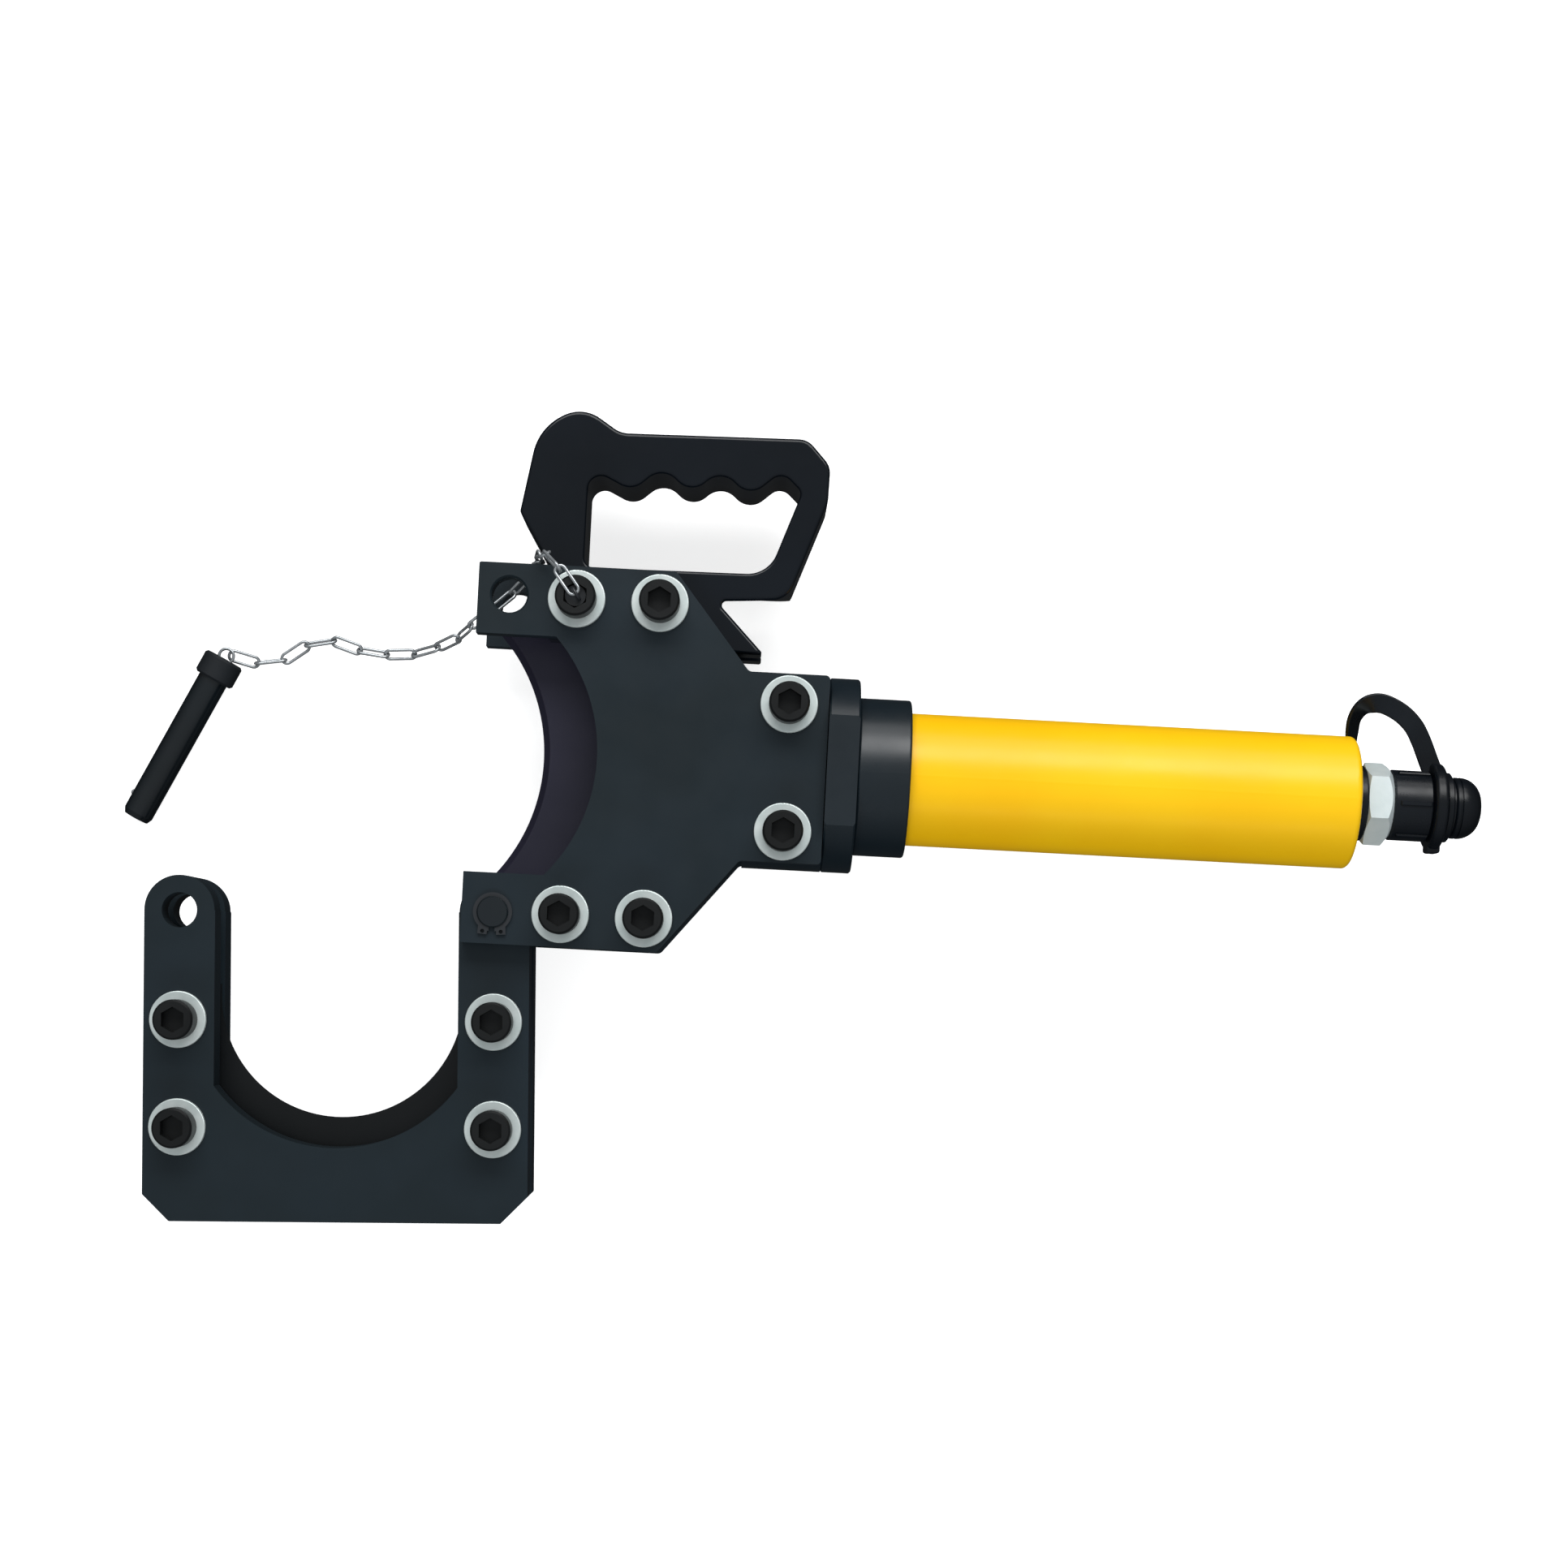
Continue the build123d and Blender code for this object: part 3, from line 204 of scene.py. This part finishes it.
def painted(name, dark, light, rough, peel, **inputs):
    """Paint or blacking: slow colour drift, uneven gloss, fine orange peel and shallow waves."""
    s = Shader(name, **inputs)
    drift = s.noise(scale=14, detail=4)
    gloss = s.noise(scale=60, detail=5, rough=0.6)
    s.colour(s.mix(s.ramp(drift, low=0.35, high=0.65), dark, light))
    s.roughness(s.ramp(gloss, NOISE_LOW, NOISE_HIGH, *rough))
    s.bump(s.noise(scale=900, detail=2), strength=peel, distance=0.0002)
    s.bump(s.noise(scale=70, detail=3), strength=peel * WAVE_SHARE, distance=0.0004)
    return name, s.material


def metal(name, dark, light, rough, metallic=1.0):
    """Bare or plated metal with a fine grain. Plating seen as pale grey is only partly metallic."""
    s = Shader(name, Metallic=metallic)
    mottle = s.noise(scale=120, detail=4, rough=0.6)
    gloss = s.noise(scale=260, detail=4, rough=0.6)
    s.colour(s.mix(s.ramp(mottle, NOISE_LOW, NOISE_HIGH), dark, light))
    s.roughness(s.ramp(gloss, NOISE_LOW, NOISE_HIGH, *rough))
    s.bump(s.noise(scale=1400, detail=2), strength=0.12, distance=0.0001)
    return name, s.material


def rubber(name, dark, light, rough, **inputs):
    """Moulded rubber: matt, a little mottled, with a fine skin."""
    s = Shader(name, **inputs)
    mottle = s.noise(scale=40, detail=4)
    gloss = s.noise(scale=150, detail=4)
    s.colour(s.mix(s.ramp(mottle, low=0.35, high=0.65), dark, light))
    s.roughness(s.ramp(gloss, NOISE_LOW, NOISE_HIGH, *rough))
    s.bump(s.noise(scale=2200, detail=2), strength=0.25, distance=0.0001)
    return name, s.material


def make_materials():
    """One material for each of the record's slots, by the slot's name."""
    dull = {"Specular_IOR_Level": 0.3}
    return dict([
        painted("plate_black", rgb(19, 29, 34), rgb(24, 35, 42), (0.38, 0.48), peel=0.05, **dull),
        painted("casting_black", rgb(6, 11, 17), rgb(10, 16, 23), (0.16, 0.22), peel=0.04, **dull),
        painted("block_black", rgb(14, 24, 30), rgb(18, 29, 36), (0.3, 0.38), peel=0.04),
        painted("fastener_black", rgb(9, 11, 12), rgb(18, 20, 21), (0.36, 0.5), peel=0.05, **dull),
        painted("pin_black", rgb(10, 16, 20), rgb(16, 24, 29), (0.2, 0.3), peel=0.04),
        painted("spring_black", rgb(22, 24, 27), rgb(36, 39, 43), (0.3, 0.42), peel=0.04),
        painted("tube_yellow", rgb(252, 193, 8), rgb(254, 201, 14), (0.3, 0.38), peel=0.05, **dull),
        painted("blade_steel", rgb(34, 33, 47), rgb(40, 39, 54), (0.34, 0.44), peel=0.03, **dull),
        painted("fixed_blade_steel", rgb(12, 15, 17), rgb(18, 21, 24), (0.34, 0.44), peel=0.03, **dull),
        metal("zinc_white", rgb(208, 220, 218), rgb(226, 234, 232), (0.42, 0.52), metallic=0.6),
        metal("zinc_bright", rgb(202, 214, 215), rgb(213, 223, 224), (0.34, 0.4), metallic=0.2),
        metal("stainless", rgb(160, 165, 168), rgb(196, 200, 203), (0.2, 0.3), metallic=0.7),
        metal("bronze", rgb(168, 132, 78), rgb(190, 150, 92), (0.3, 0.42)),
        metal("spring_steel", rgb(120, 122, 126), rgb(150, 152, 156), (0.3, 0.42)),
        metal("ground_steel", rgb(170, 172, 176), rgb(196, 198, 202), (0.16, 0.26)),
        rubber("seal_rubber", rgb(16, 16, 17), rgb(26, 26, 28), (0.5, 0.65), **dull),
        rubber("cap_black", rgb(8, 12, 17), rgb(13, 18, 24), (0.24, 0.34), **dull),
        rubber("pin_cap_black", rgb(18, 22, 26), rgb(28, 32, 36), (0.5, 0.65), **dull),
    ])


MATERIALS = make_materials()


def dress_cad_nodes():
    """Gives every CAD node the material of its slot."""
    for name, node in NODES.items():
        for material_slot in node.material_slots:
            material_slot.material = MATERIALS[SLOT_OF[name]]


# ---- copies of the springs and of the links between the ears ----


def copy_of(node_name, piece_name):
    """A piece with the same shape as a CAD node, which takes that node's place and rides with the head."""
    piece = add_object(piece_name, NODES[node_name].data.copy())
    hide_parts(node_name)
    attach(piece, "head")
    return piece


def squeeze_along(node_name, piece_name):
    """A copy of a spring, with a mesh of its own."""
    piece = copy_of(node_name, piece_name)
    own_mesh(piece)


def add_moving_springs():
    squeeze_along("return_spring", "return_coil")
    squeeze_along("poppet_spring", "poppet_coil")
    squeeze_along("detent_spring", "detent_coil")


def add_clevis_links():
    """A copy of the links between the ears, with a mesh of its own."""
    piece = copy_of("chain_clevis_links", "clevis_chain")
    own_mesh(piece)


# ---- the dust cap's rubber strap: a flat band that turns over between its two rings ----

STRAP_WIDTH = 0.009
STRAP_THICKNESS = 0.002
EDGE_ROUNDING = 0.7  # of half the thickness
CORNER_STEPS = 3

# places from the middle of the neck ring, in millimetres, each with the band's roll in degrees
STRAP_STATIONS = [
    (33.4, 16.4, 0.0, 10),
    (31.6, 20.5, 0.0, 8),
    (27.2, 30.1, 1.0, 5),
    (23.2, 36.4, 2.0, 2),
    (17.6, 41.6, 2.0, 5),
    (10.2, 45.3, 1.5, 12),
    (4.7, 45.6, 0.0, 22),
    (0.6, 43.2, -3.0, 36),
    (-1.4, 38.6, -8.0, 42),
    (-1.2, 32.4, -13.0, 46),
    (-0.1, 24.0, -14.5, 74),
    (0.0, 12.0, -11.0, 90),
]
STATION_STEPS = 8
MM_PER_METRE = 1000


def smooth_value(p, q, r, s, t):
    """A value a share t of the way from q to r, on the smooth curve through p, q, r and s."""
    slope = r - p
    bend = 2 * p - 5 * q + 4 * r - s
    twist = 3 * q - p - 3 * r + s
    return 0.5 * (2 * q + slope * t + bend * t * t + twist * t ** 3)


def smooth_stations():
    """Points on a smooth line through the stations, each with its roll."""
    padded = [STRAP_STATIONS[0], *STRAP_STATIONS, STRAP_STATIONS[-1]]
    line = []
    for a, b, c, d in zip(padded, padded[1:], padded[2:], padded[3:]):
        for step in range(STATION_STEPS):
            t = step / STATION_STEPS
            line.append([smooth_value(p, q, r, s, t) for p, q, r, s in zip(a, b, c, d)])
    line.append(STRAP_STATIONS[-1])
    return line


def band_section():
    """The band's rounded section, as places across its width and through its thickness."""
    half_w = STRAP_WIDTH / 2
    half_t = STRAP_THICKNESS / 2
    soft = half_t * EDGE_ROUNDING
    section = []
    for corner in range(4):
        centre_w = (half_w - soft) * (1 if corner in (0, 3) else -1)
        centre_t = (half_t - soft) * (1 if corner in (0, 1) else -1)
        for step in range(CORNER_STEPS + 1):
            angle = math.radians(90 * corner + 90 / CORNER_STEPS * step)
            section.append((centre_w + soft * math.cos(angle), centre_t + soft * math.sin(angle)))
    return section


def band_vertices(centres, rolls, section):
    """The section's points, set square to the line and rolled at each of its centres."""
    vertices = []
    for index, centre in enumerate(centres):
        before = centres[max(index - 1, 0)]
        after = centres[min(index + 1, len(centres) - 1)]
        tangent = (after - before).normalized()
        side = tangent.cross(Vector((0, 0, 1))).normalized()
        upright = side.cross(tangent)
        roll = math.radians(rolls[index])
        across = side * math.cos(roll) + upright * math.sin(roll)
        through = across.cross(tangent)
        vertices += [tuple(centre + across * w + through * t) for w, t in section]
    return vertices


def band_faces(rings, count):
    """Four-sided faces between neighbouring rings of so many points, and a flat face at each end."""
    faces = []
    for first in range(0, (rings - 1) * count, count):
        for k in range(count):
            n = (k + 1) % count
            faces.append((first + k, first + n, first + count + n, first + count + k))
    faces.append(tuple(reversed(range(count))))
    faces.append(tuple(range((rings - 1) * count, rings * count)))
    return faces


def add_strap():
    neck_low, neck_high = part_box("strap_neck_ring")
    origin = Vector(((neck_low.x + neck_high.x) / 2, AXIS_Y, AXIS_Z))
    line = smooth_stations()
    centres = [origin + Vector(place) / MM_PER_METRE for *place, roll in line]
    rolls = [roll for *place, roll in line]
    section = band_section()
    mesh = bpy.data.meshes.new("strap_band")
    mesh.from_pydata(band_vertices(centres, rolls, section), [], band_faces(len(centres), len(section)))
    mesh.materials.append(MATERIALS["cap_black"])
    for face in mesh.polygons:
        face.use_smooth = len(face.vertices) == 4
    strap = add_object("strap_band", mesh)
    strap.modifiers.new("even_shading", "WEIGHTED_NORMAL")
    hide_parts("cap_strap")
    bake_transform(strap)


# ---- studio: places in metres, powers in watts ----

FLOOR_HALF = 6.0
FLOOR_DROP = 0.0002
FLOOR_GLOW = 0.7

SKY_COLOUR = (0.93, 0.97, 1.0, 1)
SKY_LOW, SKY_LOW_STRENGTH = -0.4, 0.03
SKY_HIGH, SKY_HIGH_STRENGTH = 0.9, 0.42

# each light's place, target, size, power, and whether glossy surfaces mirror it
LIGHTS = {
    "key": ((0.1, 1.35, 1.3), (0.08, 0, 0), (2.2, 0.8), 32, True),
    "handle_side": ((0.1, 1.5, 0.5), (0.05, 0, 0), (1.6, 0.3), 4, True),
    "mouth_side": ((0, -1.3, 1.1), (0.05, 0, 0), (1.6, 0.4), 13, False),
}


def add_floor():
    """A plain pale floor that fills the camera's view and throws no light on the tool."""
    h = FLOOR_HALF
    mesh = bpy.data.meshes.new("floor")
    mesh.from_pydata([(-h, -h, 0), (h, -h, 0), (h, h, 0), (-h, h, 0)], [], [(0, 1, 2, 3)])
    glow = {"Emission_Color": (1, 1, 1, 1), "Emission_Strength": FLOOR_GLOW}
    s = Shader("floor_paint", Roughness=0.9, Specular_IOR_Level=0.0, **glow)
    s.colour(s.mix(s.noise(scale=3, detail=3), rgb(236, 236, 236), rgb(242, 242, 242)))
    mesh.materials.append(s.material)
    floor = add_object("floor", mesh)
    floor.location.z = -FLOOR_DROP
    floor.visible_diffuse = False
    floor.visible_glossy = False


def add_sky():
    """A soft sky that darkens towards the ground."""
    world = bpy.data.worlds.new("studio")
    world.use_nodes = True
    bpy.context.scene.world = world
    nodes = world.node_tree.nodes
    links = world.node_tree.links
    direction = nodes.new("ShaderNodeTexCoord").outputs["Generated"]
    split = nodes.new("ShaderNodeSeparateXYZ")
    fade = nodes.new("ShaderNodeMapRange")
    fade.inputs["From Min"].default_value = SKY_LOW
    fade.inputs["From Max"].default_value = SKY_HIGH
    fade.inputs["To Min"].default_value = SKY_LOW_STRENGTH
    fade.inputs["To Max"].default_value = SKY_HIGH_STRENGTH
    background = nodes["Background"]
    background.inputs["Color"].default_value = SKY_COLOUR
    links.new(direction, split.inputs["Vector"])
    links.new(split.outputs["Z"], fade.inputs["Value"])
    links.new(fade.outputs["Result"], background.inputs["Strength"])


def add_area_light(name, place, target, size, power, mirrored):
    """A soft box that faces its target."""
    data = bpy.data.lights.new(name, "AREA")
    data.shape = "RECTANGLE"
    data.size, data.size_y = size
    data.energy = power
    light = add_object(name, data)
    light.location = place
    aim = Vector(target) - Vector(place)
    light.rotation_euler = aim.to_track_quat("-Z", "Y").to_euler()
    light.visible_glossy = mirrored


add_camera()
dress_cad_nodes()
add_moving_springs()
add_clevis_links()
add_strap()
add_floor()
add_sky()
for light_name, facts in LIGHTS.items():
    add_area_light(light_name, *facts)
bpy.context.scene.view_settings.view_transform = "Standard"
